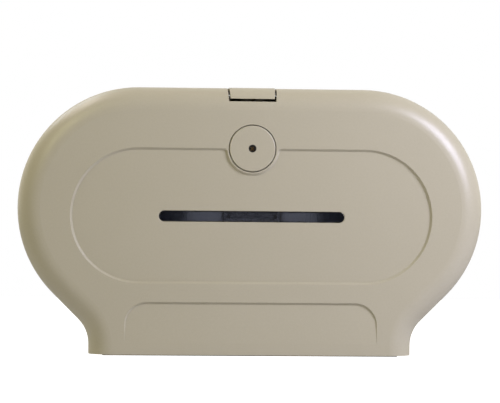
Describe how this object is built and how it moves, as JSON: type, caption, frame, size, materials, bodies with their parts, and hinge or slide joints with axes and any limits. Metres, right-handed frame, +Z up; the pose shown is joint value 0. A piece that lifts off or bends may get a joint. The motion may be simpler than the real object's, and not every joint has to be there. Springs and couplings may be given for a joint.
{
  "type": "double roll toilet paper dispenser",
  "caption": "Wall-mounted round-ended housing for two jumbo toilet paper rolls side by side, with a hinged cover, slot window, key lock and sliding exit shutter.",
  "frame": {"origin": "centre of the four wall slots, on the rear face of the back plate, level with the centres of the housing's round ends", "axes": "+X to the right seen from the front, +Y into the wall, +Z up; the front faces -Y"},
  "size_m": [0.525, 0.132, 0.3013],
  "materials": {
    "cover_plastic": "fine-textured satin beige",
    "chassis_plastic": "satin beige",
    "black_plastic": "satin black",
    "grey_plastic": "satin grey",
    "dark_plastic": "satin dark brown",
    "white_plastic": "smooth white acetal",
    "smoke_lens": "clear smoke-tinted plastic",
    "sheet_steel": "brushed sheet",
    "plated_steel": "bright zinc plate",
    "brass": "dull brass"
  },
  "bodies": {
    "chassis": {"back_plate": "chassis_plastic", "latch_bracket": "sheet_steel", "bracket_screws": "plated_steel", "left_post": "grey_plastic", "right_post": "grey_plastic", "post_screws": "plated_steel", "retainers": "plated_steel", "retainer_screws": "plated_steel", "base_tray": "dark_plastic", "tray_screws": "plated_steel", "left_tear_bar": "sheet_steel", "right_tear_bar": "sheet_steel", "tear_bar_screws": "plated_steel", "left_hinge_pin": "plated_steel", "right_hinge_pin": "plated_steel"},
    "cover": {"cover_shell": "cover_plastic", "window_lens": "smoke_lens", "lens_bar": "chassis_plastic", "lens_rivets": "black_plastic", "lens_push_nuts": "plated_steel", "lock_housing": "chassis_plastic", "lock_housing_screws": "plated_steel", "button_guide": "chassis_plastic", "button_guide_screws": "plated_steel", "button_spring": "plated_steel"},
    "lock": {"lock_disc": "cover_plastic", "lock_shaft": "plated_steel", "key_socket": "brass", "lock_cam": "sheet_steel", "cam_washer": "plated_steel", "cam_screw": "plated_steel"},
    "release_button": {"latch_button": "cover_plastic"},
    "left_roller": {"left_spindle": "black_plastic", "left_bush": "white_plastic", "left_core_adapter": "black_plastic"},
    "right_roller": {"right_spindle": "black_plastic", "right_bush": "white_plastic", "right_core_adapter": "black_plastic"},
    "shutter": {"shutter_plate": "dark_plastic", "shutter_grip": "dark_plastic"}
  },
  "joints": [
    {"name": "cover_hinge", "type": "hinge", "parent": "chassis", "child": "cover", "pos_m": [0, -0.012, -0.153], "axis": [1, 0, 0], "range_deg": [0, 90]},
    {"name": "lock_turn", "type": "hinge", "parent": "cover", "child": "lock", "pos_m": [0, -0.132, 0.0668], "axis": [0, 1, 0], "range_deg": [0, 90]},
    {"name": "button_press", "type": "slide", "parent": "cover", "child": "release_button", "axis": [0, 0, -1], "range_m": [0, 0.0024], "stiffness_N_per_m": 500, "springref_m": -0.004, "deforming": ["button_spring"]},
    {"name": "left_spin", "type": "hinge", "parent": "chassis", "child": "left_roller", "pos_m": [-0.1175, -0.06, -0.0085], "axis": [0, 1, 0], "continuous": true},
    {"name": "right_spin", "type": "hinge", "parent": "chassis", "child": "right_roller", "pos_m": [0.1175, -0.06, -0.0085], "axis": [0, 1, 0], "continuous": true},
    {"name": "shutter_slide", "type": "slide", "parent": "chassis", "child": "shutter", "axis": [1, 0, 0], "range_m": [0, 0.206]}
  ]
}
